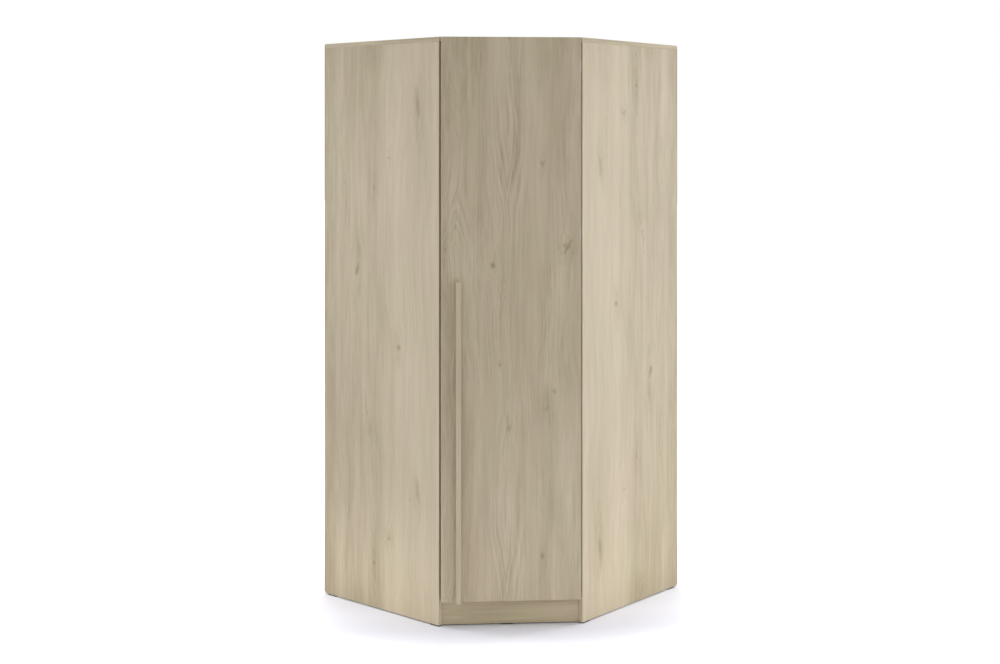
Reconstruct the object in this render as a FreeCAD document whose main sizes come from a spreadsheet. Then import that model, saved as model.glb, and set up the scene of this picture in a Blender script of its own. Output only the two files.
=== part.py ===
import FreeCAD, Part
import os
import re
import Sketcher

# Corner wardrobe with one door across its diagonal front. The room corner lies at -X, +Y,
# the back wall along +Y and the left wall along -X. The door faces +X, -Y. Sizes in millimetres.
SIZES = {
    # Carcass
    "total_height": 2034,
    "side_depth": 580,
    "corner_cut": 352,
    "board_thick": 16,
    "back_thick": 3,
    "back_lift": 6,
    "back_drop": 4,
    "post_side": 40,
    "plinth_height": 86,
    "plinth_setback": 13,
    "shelf_space": 312,
    "shelf_setback": 40,
    # Floor glides
    "glide_height": 4,
    "glide_length": 40,
    "glide_width": 14,
    "glide_front_inset": 3,
    "glide_rear_inset": 15,
    "glide_plinth_shift": 12,
    # Door
    "door_thick": 16,
    "door_reveal": 7,
    "door_gap": 3,
    "door_top_drop": 1,
    "door_edge_round": 0.8,
    "bumper_radius": 4,
    "bumper_inset": 40,
    # Bar handle
    "handle_width": 18,
    "handle_foot_width": 12,
    "handle_depth": 26,
    "handle_length": 1102,
    "handle_inset": 49.5,
    "handle_round": 2,
    # Hanging rails
    "rail_radius": 12.5,
    "rail_wall": 1.2,
    "rail_offset": 280,
    "rail_drop": 55,
    "rail_end_gap": 60,
    "rail_cap_thick": 3,
    "rail_cap_plug": 6,
    "socket_radius": 28,
    "socket_plate": 3,
    "socket_collar": 12,
    "socket_wall": 3,
    "socket_screw_ring": 22,
    "bracket_plate": 3,
    "bracket_side": 50,
    "bracket_margin": 14,
    "bracket_stem": 16,
    "bracket_set": 4,
    "bracket_wall": 3.5,
    # Hinges
    "hinge_end": 102,
    "pivot_in": 6,
    "pivot_out": 0.3,
    "knuckle_radius": 2.4,
    "knuckle_height": 44,
    "knuckle_middle": 16,
    "knuckle_gap": 0.3,
    "pin_radius": 1.2,
    "pin_head_radius": 2.2,
    "pin_head_height": 1.2,
    "cup_radius": 17.5,
    "cup_depth": 11.5,
    "cup_wall": 1,
    "cup_rim": 2,
    "cup_edge": 5,
    "tongue_thick": 2,
    "flange_height": 62,
    "flange_width": 24,
    "cup_screw_spread": 48,
    "hinge_plate_thick": 3,
    "hinge_plate_length": 50,
    "hinge_plate_height": 46,
    "hinge_plate_set": 12,
    "arm_thick": 2,
    "arm_lip": 1.5,
    "arm_height": 18,
    "arm_length": 56,
    "arm_edge_inset": 3,
    "plate_screw_spread": 32,
    # Fasteners
    "cam_radius": 7.5,
    "cam_depth": 12,
    "cam_reach": 34,
    "bolt_radius": 3,
    "bolt_grip": 11,
    "bolt_tail": 3,
    "dowel_radius": 4,
    "dowel_length": 24,
    "nail_radius": 1,
    "nail_length": 18,
    "screw_radius": 1.9,
    "screw_head_radius": 3.6,
    "screw_head_height": 1.8,
    "screw_length": 13,
    "handle_screw_length": 28,
    "wall_bracket_width": 32,
    "wall_bracket_leg": 42,
    "wall_bracket_thick": 2,
    "wall_bracket_inset": 130,
    "wall_hole_radius": 3,
    "wall_hole_rise": 16,
    "wall_screw_inset": 14,
    # Clearance round a fastener or a pin, and the overrun of every cut
    "fit_gap": 0.06,
    "overrun": 1,
}

# Sizes and places that follow from the ones above
DERIVED = {
    "wall_length": "side_depth + corner_cut",
    "front_width": "corner_cut * sqrt(2)",
    "door_overhang": "(door_gap + door_thick - door_reveal) / sqrt(2)",
    "half_side": "(wall_length + door_overhang) / 2",
    "side_height": "total_height - board_thick - glide_height",
    "floor_under": "glide_height + plinth_height",
    "top_under": "total_height - board_thick",
    "shelf_height": "top_under - shelf_space - board_thick",
    "inner_wall": "wall_length - board_thick",
    "notch": "back_thick + post_side + fit_gap",
    "shelf_cut": "side_depth + board_thick - shelf_setback * sqrt(2)",
    "plinth_front": "side_depth + board_thick - plinth_setback * sqrt(2)",
    "plinth_rear": "side_depth + board_thick - (plinth_setback + board_thick) * sqrt(2)",
    "door_width": "front_width - 2 * door_reveal",
    "door_face": "door_gap + door_thick",
    "door_height": "total_height - door_top_drop - floor_under",
    "handle_middle": "door_reveal + handle_inset + handle_width / 2",
    "rail_height": "shelf_height - rail_drop",
    "rail_start": "rail_offset + rail_end_gap",
    "rail_length": "inner_wall - socket_plate - rail_start",
    "cup_middle": "front_width - door_reveal - cup_edge - cup_radius",
    "hinge_span": "door_height - 2 * hinge_end",
    "pivot_x": "half_side - door_overhang - (pivot_in - pivot_out) / sqrt(2)",
    "pivot_y": "half_side - side_depth - (pivot_in + pivot_out) / sqrt(2)",
    "arm_face": "inner_wall - hinge_plate_thick",
}

HINGE_COUNT = 4
HANDLE_SCREW_SHARES = (0.04, 0.35, 0.65, 0.96)
SIDE_CAM_SHARES = (0.1, 0.5, 0.86)
SHELF_CAM_SHARES = (0.16, 0.76)
PLINTH_DOWEL_SHARES = (0.2, 0.5, 0.8)
RAIL_DOWEL_SHARES = (0.2, 0.8)
NAIL_HEIGHT_SHARES = (0.03, 0.2, 0.4, 0.6, 0.8, 0.97)
NAIL_WIDTH_SHARES = (0.25, 0.5, 0.75)
DOOR_TURN = 45

doc = FreeCAD.newDocument("corner_wardrobe")
sheet = doc.addObject("Spreadsheet::Sheet", "sizes")
for row, (alias, value) in enumerate(SIZES.items(), 1):
    sheet.set(f"A{row}", alias)
    sheet.set(f"B{row}", str(value))
    sheet.setAlias(f"B{row}", alias)
doc.recompute()

UP = FreeCAD.Vector(0, 0, 1)
ALONG = FreeCAD.Vector(1, 0, 0)
ACROSS = FreeCAD.Vector(0, 1, 0)
FLAT = FreeCAD.Rotation(UP, 0)
TO_X = FreeCAD.Rotation(ACROSS, 90)
TO_Y = FreeCAD.Rotation(ALONG, -90)
DOOR = FreeCAD.Rotation(UP, DOOR_TURN)
TO_FRONT = FreeCAD.Rotation(ALONG, 90)
DOOR_OUT = DOOR * TO_FRONT
CORNER = FreeCAD.Rotation(UP, -90)

NODES = []


# An expression in alias names, written out for the sheet
def bound(text):
    def swap(found):
        word = found.group()
        if word in DERIVED:
            return "(" + bound(DERIVED[word]) + ")"
        return "sizes." + word if word in SIZES else word

    return re.sub(r"[a-z_]+", swap, str(text))


def number(text):
    return float(sheet.evalExpression(bound(text)))


def put(item, place, turn):
    item.Placement = FreeCAD.Placement(FreeCAD.Vector(), turn)
    for axis, text in zip("xyz", place):
        item.setExpression("Placement.Base." + axis, bound(text))
    return item


def size(item, **sizes):
    for name, text in sizes.items():
        item.setExpression(name, bound(text))
    return item


# A place by its distances from the back wall and the left wall and its height
def at(from_back, from_left, height):
    return (f"{from_left} - half_side", f"half_side - ({from_back})", height)


# A place by its distance along the front from the left corner, its reach outward and its height
def front(along, out, height):
    left = "side_depth - half_side"
    near = "half_side - wall_length"
    return (f"{left} + ({along} + ({out})) / sqrt(2)", f"{near} + ({along} - ({out})) / sqrt(2)", height)


def box(name, length, width, height, place, turn=FLAT):
    item = doc.addObject("Part::Box", name)
    return size(put(item, place, turn), Length=length, Width=width, Height=height)


def rod(name, radius, height, place, turn=FLAT):
    item = doc.addObject("Part::Cylinder", name)
    return size(put(item, place, turn), Radius=radius, Height=height)


def group(name, items):
    item = doc.addObject("Part::Compound", name)
    item.Links = items
    return item


def fuse(name, items):
    item = doc.addObject("Part::MultiFuse", name)
    item.Shapes = items
    return item


def cut(name, base, tools):
    item = doc.addObject("Part::Cut", name)
    item.Base = base
    item.Tool = tools[0] if len(tools) == 1 else fuse(name + "_tools", tools)
    return item


def node(name, item):
    item.Label = name
    NODES.append(item)
    return item


# A prism on an outline of bound points
def prism(name, points, height, place, turn):
    body = doc.addObject("PartDesign::Body", name)
    sketch = body.newObject("Sketcher::SketchObject", name + "_outline")
    plane = [one for one in body.Origin.OriginFeatures if one.Role == "XY_Plane"][0]
    sketch.AttachmentSupport = (plane, [""])
    sketch.MapMode = "FlatFace"
    spots = [FreeCAD.Vector(number(along), number(across), 0) for along, across in points]
    count = len(spots)
    for place_no, spot in enumerate(spots):
        sketch.addGeometry(Part.LineSegment(spot, spots[(place_no + 1) % count]))
    for place_no in range(count):
        sketch.addConstraint(Sketcher.Constraint("Coincident", place_no, 2, (place_no + 1) % count, 1))
    for place_no, pair in enumerate(points):
        for kind, text, rule, axis in (
                ("along", pair[0], "DistanceX", -2), ("across", pair[1], "DistanceY", -1)):
            if text == "0":
                sketch.addConstraint(Sketcher.Constraint("PointOnObject", place_no, 1, axis))
                continue
            value = spots[place_no].x if kind == "along" else spots[place_no].y
            index = sketch.addConstraint(Sketcher.Constraint(rule, -1, 1, place_no, 1, value))
            sketch.renameConstraint(index, f"{kind}_{place_no}")
            sketch.setExpression(f"Constraints.{kind}_{place_no}", bound(text))
    pad = body.newObject("PartDesign::Pad", name + "_pad")
    pad.Profile = sketch
    size(pad, Length=height)
    put(body, place, turn)
    doc.recompute()
    return body, pad


# Rounds the edges of a prism that lie on the front plane of its own sketch
def round_front(body, pad, name, radius):
    edges = []
    for edge_no, edge in enumerate(pad.Shape.Edges, 1):
        if all(abs(corner.Y) < number("fit_gap") for corner in edge.Vertexes):
            edges.append(f"Edge{edge_no}")
    fillet = body.newObject("PartDesign::Fillet", name)
    fillet.Base = (pad, edges)
    size(fillet, Radius=radius)
    doc.recompute()
    return body


# A screw whose head rests on a face or is sunk into it, and the drill that clears it
def screw(name, length, place, turn, kept, sunk=False):
    way = turn.multVec(UP)
    shank = rod(name + "_shank", "screw_radius", length, place, turn)
    drill = rod(name + "_drill", "screw_radius + fit_gap", f"{length} + fit_gap", place, turn)
    if sunk:
        start = place
        well = rod(name + "_well", "screw_head_radius + fit_gap", "screw_head_height + fit_gap",
                   place, turn)
        drill = fuse(name + "_holes", [drill, well])
    else:
        start = tuple(f"{text} - screw_head_height * ({part:.9f})" for text, part in zip(place, way))
    head = rod(name + "_head", "screw_head_radius", "screw_head_height", start, turn)
    kept.append(fuse(name, [shank, head]))
    return drill


# A cam bolt and its cam lock, with the drills that clear them
def cam(name, bolt_place, bolt_turn, cam_place, cam_turn):
    reach = "bolt_grip + cam_reach + bolt_tail"
    bolts.append(rod(name + "_bolt", "bolt_radius", reach, bolt_place, bolt_turn))
    bolt_drill = rod(name + "_bolt_drill", "bolt_radius + fit_gap", f"{reach} + fit_gap",
                     bolt_place, bolt_turn)
    disc = rod(name + "_disc", "cam_radius", "cam_depth", cam_place, cam_turn)
    cams.append(cut(name + "_lock", disc, [bolt_drill]))
    cam_drill = rod(name + "_drill", "cam_radius + fit_gap", "cam_depth + fit_gap", cam_place, cam_turn)
    return bolt_drill, cam_drill


bolts = []
cams = []
drills = {name: [] for name in (
    "left_side_panel", "right_side_panel", "top_panel", "bottom_panel", "top_shelf", "plinth_board",
    "rear_rail_left", "rear_rail_right", "corner_post", "back_panel_left", "back_panel_right",
    "door_panel", "handle_bar")}

# Boards before drilling
left_side = box("left_side_board", "side_depth - back_thick", "board_thick", "side_height",
                at("wall_length", "back_thick", "glide_height"))
right_side = box("right_side_board", "board_thick", "side_depth - back_thick", "side_height",
                 at("side_depth", "inner_wall", "glide_height"))
room_corner = at("0", "0", "0")


def five_sided(name, cut_at, height):
    return prism(name, [
        ("notch", "back_thick"), ("inner_wall", "back_thick"), ("inner_wall", cut_at),
        (cut_at, "inner_wall"), ("back_thick", "inner_wall"), ("back_thick", "notch"),
        ("notch", "notch")],
        "board_thick", (room_corner[0], room_corner[1], height), CORNER)[0]


top_board = prism("top_board", [
    ("back_thick", "back_thick"), ("wall_length", "back_thick"), ("wall_length", "side_depth"),
    ("side_depth", "wall_length"), ("back_thick", "wall_length")],
    "board_thick", (room_corner[0], room_corner[1], "top_under"), CORNER)[0]
floor_board = five_sided("floor_board", "side_depth + board_thick", "floor_under")
shelf_board = five_sided("shelf_board", "shelf_cut", "shelf_height")
plinth = prism("plinth", [
    ("inner_wall", "plinth_front"), ("plinth_front", "inner_wall"),
    ("plinth_rear", "inner_wall"), ("inner_wall", "plinth_rear")],
    "plinth_height", (room_corner[0], room_corner[1], "glide_height"), CORNER)[0]
rear_span = "inner_wall - back_thick - post_side"
rail_right_board = box("rear_right_board", rear_span, "board_thick", "plinth_height",
                       at("back_thick + board_thick", "back_thick + post_side", "glide_height"))
rail_left_board = box("rear_left_board", "board_thick", rear_span, "plinth_height",
                      at("inner_wall", "back_thick", "glide_height"))
post = box("post", "post_side", "post_side", "side_height",
           at("back_thick + post_side", "back_thick", "glide_height"))
back_height = "total_height - back_drop - glide_height - back_lift"
back_base = "glide_height + back_lift"
back_right = box("back_right_sheet", "wall_length", "back_thick", back_height,
                 at("back_thick", "0", back_base))
back_left = box("back_left_sheet", "back_thick", "wall_length - back_thick", back_height,
                at("wall_length", "0", back_base))

# Cams of the top board and the sides
half = "board_thick / 2"
for count, share in enumerate(SIDE_CAM_SHARES):
    depth = f"back_thick + (side_depth - back_thick) * {share}"
    foot = "top_under - cam_reach - bolt_tail"
    level = "top_under - cam_reach"
    bolt_drill, cam_drill = cam(
        f"top_right_{count}", at(depth, f"inner_wall + {half}", foot), FLAT,
        at(depth, "inner_wall", level), TO_X)
    drills["right_side_panel"] += [bolt_drill, cam_drill]
    drills["top_panel"].append(bolt_drill)
    bolt_drill, cam_drill = cam(
        f"top_left_{count}", at(f"inner_wall + {half}", depth, foot), FLAT,
        at("inner_wall + cam_depth", depth, level), TO_Y)
    drills["left_side_panel"] += [bolt_drill, cam_drill]
    drills["top_panel"].append(bolt_drill)

# Cams of the bottom panel and the shelf, sunk into their undersides
tip = "inner_wall - cam_reach - bolt_tail"
for board, level, shares in (
        ("bottom_panel", "floor_under", SIDE_CAM_SHARES), ("top_shelf", "shelf_height", SHELF_CAM_SHARES)):
    for count, share in enumerate(shares):
        depth = f"back_thick + (side_depth - back_thick) * {share}"
        bolt_drill, cam_drill = cam(
            f"{board}_right_{count}", at(depth, tip, f"{level} + {half}"), TO_X,
            at(depth, "inner_wall - cam_reach", level), FLAT)
        drills[board] += [bolt_drill, cam_drill]
        drills["right_side_panel"].append(bolt_drill)
        bolt_drill, cam_drill = cam(
            f"{board}_left_{count}", at("inner_wall + bolt_grip", depth, f"{level} + {half}"), TO_Y,
            at("inner_wall - cam_reach", depth, level), FLAT)
        drills[board] += [bolt_drill, cam_drill]
        drills["left_side_panel"].append(bolt_drill)

# Dowels between the bottom panel and the boards under it
dowels = []


def dowel(name, place, board):
    spot = (place[0], place[1], "floor_under - dowel_length / 2")
    dowels.append(rod(name, "dowel_radius", "dowel_length", spot))
    spot = (place[0], place[1], "floor_under - dowel_length / 2 - fit_gap")
    drill = rod(name + "_drill", "dowel_radius + fit_gap", "dowel_length + 2 * fit_gap", spot)
    drills[board].append(drill)
    drills["bottom_panel"].append(drill)


for count, share in enumerate(PLINTH_DOWEL_SHARES):
    dowel(f"plinth_dowel_{count}", front(f"front_width * {share}", f"-plinth_setback - {half}", "0"),
          "plinth_board")
for count, share in enumerate(RAIL_DOWEL_SHARES):
    spot = f"back_thick + post_side + ({rear_span}) * {share}"
    dowel(f"right_dowel_{count}", at(f"back_thick + {half}", spot, "0"), "rear_rail_right")
    dowel(f"left_dowel_{count}", at(spot, f"back_thick + {half}", "0"), "rear_rail_left")

# Nails of the back panels, flush with their outer faces
nails = []


def nail(name, from_back, from_left, height, turn, boards):
    nails.append(rod(name, "nail_radius", "nail_length", at(from_back, from_left, height), turn))
    reach = "nail_length + fit_gap + overrun"
    if turn is TO_X:
        spot = at(from_back, f"{from_left} - overrun", height)
    else:
        spot = at(f"{from_back} + fit_gap", from_left, height)
    drill = rod(name + "_drill", "nail_radius + fit_gap", reach, spot, turn)
    for board in boards:
        drills[board].append(drill)


for count, share in enumerate(NAIL_HEIGHT_SHARES):
    height = f"{back_base} + ({back_height}) * {share}"
    post_spot = "back_thick + post_side / 2"
    side_spot = f"inner_wall + {half}"
    nail(f"nail_post_back_{count}", "nail_length", post_spot, height, TO_Y,
         ["back_panel_right", "corner_post"])
    nail(f"nail_side_back_{count}", "nail_length", side_spot, height, TO_Y,
         ["back_panel_right", "right_side_panel"])
    nail(f"nail_post_left_{count}", post_spot, "0", height, TO_X, ["back_panel_left", "corner_post"])
    nail(f"nail_side_left_{count}", side_spot, "0", height, TO_X, ["back_panel_left", "left_side_panel"])
for count, share in enumerate(NAIL_WIDTH_SHARES):
    spot = f"back_thick + post_side + ({rear_span}) * {share}"
    for board, level in (
            ("bottom_panel", "floor_under"), ("top_shelf", "shelf_height"), ("top_panel", "top_under")):
        height = f"{level} + {half}"
        nail(f"nail_back_{board}_{count}", "nail_length", spot, height, TO_Y, ["back_panel_right", board])
        nail(f"nail_left_{board}_{count}", spot, "0", height, TO_X, ["back_panel_left", board])

# Hanging rails, each from its free end to a socket on a side panel, with a drop bracket under the shelf
rail_screws = []
caps = []
middle = "rail_start + bracket_set + bracket_stem / 2"
under_plate = "shelf_height - bracket_plate"
screw_step = "(bracket_side - bracket_margin) / 2"


def right_place(step):
    return at("rail_offset", f"rail_start + ({step})", "rail_height")


def left_place(step):
    return at(f"rail_start + ({step})", "rail_offset", "rail_height")


def right_plate(name, width, height, level):
    return box(name, "bracket_stem", width, height,
               at(f"rail_offset + ({width}) / 2", "rail_start + bracket_set", level))


def left_plate(name, width, height, level):
    return box(name, width, "bracket_stem", height,
               at("rail_start + bracket_set + bracket_stem", f"rail_offset - ({width}) / 2", level))


def right_screw_spot(step):
    return at(f"rail_offset + ({step})", middle, under_plate)


def left_screw_spot(step):
    return at(middle, f"rail_offset + ({step})", under_plate)


def hang(side, place, turn, plate, screw_spot):
    bore = rod(f"rail_bore_{side}", "rail_radius - rail_wall", "rail_length + 2 * overrun",
               place("-overrun"), turn)
    tube = rod(f"rail_tube_{side}", "rail_radius", "rail_length", place("0"), turn)
    node(f"hanging_rail_{side}", cut(f"rail_cut_{side}", tube, [bore]))

    disc = rod(f"socket_disc_{side}", "socket_radius", "socket_plate", place("rail_length"), turn)
    collar = rod(f"socket_collar_{side}", "rail_radius + fit_gap + socket_wall", "socket_collar",
                 place("rail_length - socket_collar"), turn)
    clear = rod(f"socket_clear_{side}", "rail_radius + fit_gap", "socket_collar + overrun",
                place("rail_length - socket_collar - overrun"), turn)
    holes = []
    for count, sign in enumerate(("", "-")):
        spot = place("rail_length")
        spot = (spot[0], spot[1], f"rail_height + ({sign}socket_screw_ring)")
        holes.append(screw(f"socket_screw_{side}_{count}", "screw_length", spot, turn, rail_screws))
    drills[f"{side}_side_panel"] += holes
    socket = fuse(f"socket_solid_{side}", [disc, collar])
    node(f"rail_socket_{side}", cut(f"socket_{side}", socket, [clear] + holes))

    eye = rod(f"bracket_eye_{side}", "rail_radius + fit_gap + bracket_wall", "bracket_stem",
              place("bracket_set"), turn)
    stem = plate(f"bracket_stem_{side}", "bracket_stem", "rail_drop", "rail_height")
    top = plate(f"bracket_top_{side}", "bracket_side", "bracket_plate", under_plate)
    hole = rod(f"bracket_hole_{side}", "rail_radius + fit_gap", "bracket_stem + 2 * overrun",
               place("bracket_set - overrun"), turn)
    holes = []
    for count, sign in enumerate(("", "-")):
        spot = screw_spot(sign + screw_step)
        holes.append(screw(f"bracket_screw_{side}_{count}", "screw_length", spot, FLAT, rail_screws))
    drills["top_shelf"] += holes
    bracket = fuse(f"bracket_solid_{side}", [eye, stem, top])
    node(f"rail_bracket_{side}", cut(f"bracket_{side}", bracket, [hole] + holes))

    cap = rod(f"rail_cap_{side}", "rail_radius", "rail_cap_thick", place("-rail_cap_thick"), turn)
    plug = rod(f"rail_plug_{side}", "rail_radius - rail_wall - fit_gap", "rail_cap_plug + rail_cap_thick",
               place("-rail_cap_thick"), turn)
    caps.append(fuse(f"rail_end_{side}", [cap, plug]))


hang("right", right_place, TO_X, right_plate, right_screw_spot)
hang("left", left_place, TO_FRONT, left_plate, left_screw_spot)
node("rail_caps", group("rail_cap_set", caps))
node("rail_screws", group("rail_screw_set", rail_screws))

# Wall brackets under the top panel, each with a hole through the back panel to the wall
bracket_screws = []
bracket_at = "inner_wall - wall_bracket_inset"
leg_foot = "top_under - wall_bracket_leg"
leg_reach = "wall_bracket_thick + back_thick + 2 * overrun"
hole_at = "top_under - wall_bracket_leg + wall_hole_rise"
flat_leg = box("bracket_flat_right", "wall_bracket_width", "wall_bracket_leg", "wall_bracket_thick",
               at("back_thick + wall_bracket_leg", f"{bracket_at} - wall_bracket_width / 2",
                  "top_under - wall_bracket_thick"))
wall_leg = box("bracket_wall_right", "wall_bracket_width", "wall_bracket_thick", "wall_bracket_leg",
               at("back_thick + wall_bracket_thick", f"{bracket_at} - wall_bracket_width / 2", leg_foot))
wall_hole = rod("wall_hole_right", "wall_hole_radius", leg_reach,
                at("back_thick + wall_bracket_thick + overrun", bracket_at, hole_at), TO_Y)
fixing = screw("wall_bracket_screw_right", "screw_length",
               at("back_thick + wall_bracket_leg - wall_screw_inset", bracket_at,
                  "top_under - wall_bracket_thick"), FLAT, bracket_screws)
drills["back_panel_right"].append(wall_hole)
drills["top_panel"].append(fixing)
node("wall_bracket_right", cut("bracket_right_cut", fuse("bracket_right_solid", [flat_leg, wall_leg]),
                               [wall_hole, fixing]))
flat_leg = box("bracket_flat_left", "wall_bracket_leg", "wall_bracket_width", "wall_bracket_thick",
               at(f"{bracket_at} + wall_bracket_width / 2", "back_thick", "top_under - wall_bracket_thick"))
wall_leg = box("bracket_wall_left", "wall_bracket_thick", "wall_bracket_width", "wall_bracket_leg",
               at(f"{bracket_at} + wall_bracket_width / 2", "back_thick", leg_foot))
wall_hole = rod("wall_hole_left", "wall_hole_radius", leg_reach, at(bracket_at, "-overrun", hole_at), TO_X)
fixing = screw("wall_bracket_screw_left", "screw_length",
               at(bracket_at, "back_thick + wall_bracket_leg - wall_screw_inset",
                  "top_under - wall_bracket_thick"), FLAT, bracket_screws)
drills["back_panel_left"].append(wall_hole)
drills["top_panel"].append(fixing)
node("wall_bracket_left", cut("bracket_left_cut", fuse("bracket_left_solid", [flat_leg, wall_leg]),
                              [wall_hole, fixing]))
node("wall_bracket_screws", group("wall_bracket_screw_set", bracket_screws))

# Door and bar handle
door_body, door_pad = prism("door_board", [
    ("0", "0"), ("door_width", "0"), ("door_width", "door_thick"), ("0", "door_thick")],
    "door_height", front("door_reveal", "door_face", "floor_under"), DOOR)
round_front(door_body, door_pad, "door_edge", "door_edge_round")
foot_step = "(handle_width - handle_foot_width) / 2"
bar_body, bar_pad = prism("bar", [
    ("0", "0"), ("handle_width", "0"), (f"handle_width - {foot_step}", "handle_depth"),
    (foot_step, "handle_depth")],
    "handle_length", front("door_reveal + handle_inset", "door_face + handle_depth", "floor_under"), DOOR)
round_front(bar_body, bar_pad, "bar_edge", "handle_round")
handle_screws = []
for count, share in enumerate(HANDLE_SCREW_SHARES):
    spot = front("handle_middle", "door_gap", f"floor_under + handle_length * {share}")
    hole = screw(f"handle_screw_{count}", "handle_screw_length", spot, DOOR_OUT, handle_screws, True)
    drills["door_panel"].append(hole)
    drills["handle_bar"].append(hole)
node("handle_screws", group("handle_screw_set", handle_screws))

# Hinges: a cup and a tongue on the door, an arm on a plate on the right side panel, and a pin
plate_screws = []
cup_screws = []
pins = []
for count in range(HINGE_COUNT):
    number_share = count / (HINGE_COUNT - 1)
    level = f"floor_under + hinge_end + hinge_span * {number_share:.9f}"
    name = f"{count + 1}"
    pivot = ("pivot_x", "pivot_y")
    half_middle = "knuckle_middle / 2"
    half_knuckle = "knuckle_height / 2"
    end_knuckle = f"{half_knuckle} - {half_middle} - knuckle_gap"
    bore = rod(f"pin_bore_{name}", "pin_radius + fit_gap", "knuckle_height + 2 * overrun",
               (*pivot, f"{level} - {half_knuckle} - overrun"))

    shell = rod(f"cup_shell_{name}", "cup_radius - fit_gap", "cup_depth",
                front("cup_middle", "door_gap", level), DOOR_OUT)
    rim = rod(f"cup_rim_{name}", "cup_radius + cup_rim", "tongue_thick",
              front("cup_middle", "door_gap - tongue_thick", level), DOOR_OUT)
    lug = box(f"cup_lug_{name}", "flange_width", "tongue_thick", "flange_height",
              front("cup_middle - flange_width / 2", "door_gap", f"{level} - flange_height / 2"), DOOR)
    tongue = box(f"cup_tongue_{name}", "door_reveal + cup_edge - pivot_in", "tongue_thick",
                 "knuckle_middle",
                 front("cup_middle + cup_radius", "door_gap", f"{level} - {half_middle}"), DOOR)
    knuckle = rod(f"cup_knuckle_{name}", "knuckle_radius", "knuckle_middle",
                  (*pivot, f"{level} - {half_middle}"))
    hollow = rod(f"cup_hollow_{name}", "cup_radius - fit_gap - cup_wall",
                 "cup_depth - cup_wall + tongue_thick + overrun",
                 front("cup_middle", "door_gap - tongue_thick - overrun", level), DOOR_OUT)
    holes = []
    for place_no, sign in enumerate(("", "-")):
        spot = front("cup_middle", "door_gap - tongue_thick", f"{level} + ({sign}cup_screw_spread / 2)")
        holes.append(screw(f"cup_screw_{name}_{place_no}", "screw_length", spot, DOOR_OUT, cup_screws))
    cup = fuse(f"cup_solid_{name}", [shell, rim, lug, tongue, knuckle])
    node(f"hinge_cup_{name}", cut(f"cup_{name}", cup, [hollow, bore] + holes))
    well = rod(f"cup_well_{name}", "cup_radius", "cup_depth + fit_gap + overrun",
               front("cup_middle", "door_gap - overrun", level), DOOR_OUT)
    drills["door_panel"] += [well] + holes

    plate = box(f"plate_solid_{name}", "hinge_plate_thick", "hinge_plate_length", "hinge_plate_height",
                at("side_depth - hinge_plate_set", "arm_face", f"{level} - hinge_plate_height / 2"))
    plate_middle = "side_depth - hinge_plate_set - hinge_plate_length / 2"
    holes = []
    for place_no, sign in enumerate(("", "-")):
        spot = at(plate_middle, "arm_face", f"{level} + ({sign}plate_screw_spread / 2)")
        holes.append(screw(f"plate_screw_{name}_{place_no}", "screw_length", spot, TO_X, plate_screws))
    spot = at(plate_middle, "arm_face - arm_thick", level)
    arm_hole = screw(f"arm_screw_{name}", "screw_length", spot, TO_X, plate_screws)
    node(f"hinge_plate_{name}", cut(f"plate_{name}", plate, holes + [arm_hole]))
    drills["right_side_panel"] += holes + [arm_hole]

    arm = box(f"arm_strip_{name}", "arm_thick", "arm_length + arm_lip", "arm_height",
              at("side_depth + arm_lip", "arm_face - arm_thick", f"{level} - arm_height / 2"))
    lip_start = "arm_face - arm_thick"
    lip = box(f"arm_lip_{name}", f"wall_length - arm_edge_inset - ({lip_start})", "arm_lip",
              "knuckle_height", at("side_depth + arm_lip", lip_start, f"{level} - {half_knuckle}"))
    pieces = [arm, lip]
    for place_no, foot in enumerate((
            f"{level} - {half_knuckle}", f"{level} + {half_middle} + knuckle_gap")):
        pieces.append(rod(f"arm_knuckle_{name}_{place_no}", "knuckle_radius", end_knuckle, (*pivot, foot)))
        web_reach = "(pivot_in + pivot_out) / sqrt(2)"
        web_place = ("pivot_x - knuckle_radius / 2", "pivot_y", foot)
        pieces.append(box(f"arm_web_{name}_{place_no}", "knuckle_radius", web_reach, end_knuckle,
                          web_place))
    node(f"hinge_arm_{name}", cut(f"arm_{name}", fuse(f"arm_solid_{name}", pieces), [bore, arm_hole]))

    shank = rod(f"pin_shank_{name}", "pin_radius", "knuckle_height", (*pivot, f"{level} - {half_knuckle}"))
    head = rod(f"pin_head_{name}", "pin_head_radius", "pin_head_height",
               (*pivot, f"{level} + {half_knuckle}"))
    pins.append(fuse(f"pin_{name}", [shank, head]))
node("hinge_plate_screws", group("plate_screw_set", plate_screws))
node("hinge_cup_screws", group("cup_screw_set", cup_screws))
node("hinge_pins", group("pin_set", pins))

# Soft bumpers on the front edges of the top and bottom panels
bumpers = []
for name, level in (("low", "floor_under"), ("high", "top_under")):
    spot = front("board_thick * sqrt(2) + bumper_inset", "0", f"{level} + {half}")
    bumpers.append(rod(f"bumper_{name}", "bumper_radius", "door_gap - knuckle_gap", spot, DOOR_OUT))
node("door_bumpers", group("bumper_set", bumpers))

# Floor glides
margin = "(board_thick - glide_width) / 2"
near_start = "side_depth - glide_front_inset - glide_length"
rear_end = "back_thick + glide_rear_inset + glide_length"
node("glide_left_rear", box("glide_left_rear", "glide_length", "glide_width", "glide_height",
                            at(f"wall_length - {margin}", "back_thick + glide_rear_inset", "0")))
node("glide_left_front", box("glide_left_front", "glide_length", "glide_width", "glide_height",
                             at(f"wall_length - {margin}", near_start, "0")))
node("glide_right_rear", box("glide_right_rear", "glide_width", "glide_length", "glide_height",
                             at(rear_end, f"inner_wall + {margin}", "0")))
node("glide_right_front", box("glide_right_front", "glide_width", "glide_length", "glide_height",
                              at("side_depth - glide_front_inset", f"inner_wall + {margin}", "0")))
node("glide_plinth", box("glide_plinth", "glide_length", "glide_width", "glide_height",
                         front("front_width / 2 - glide_plinth_shift - glide_length / 2",
                               f"-plinth_setback - {margin}", "0"), DOOR))
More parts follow.
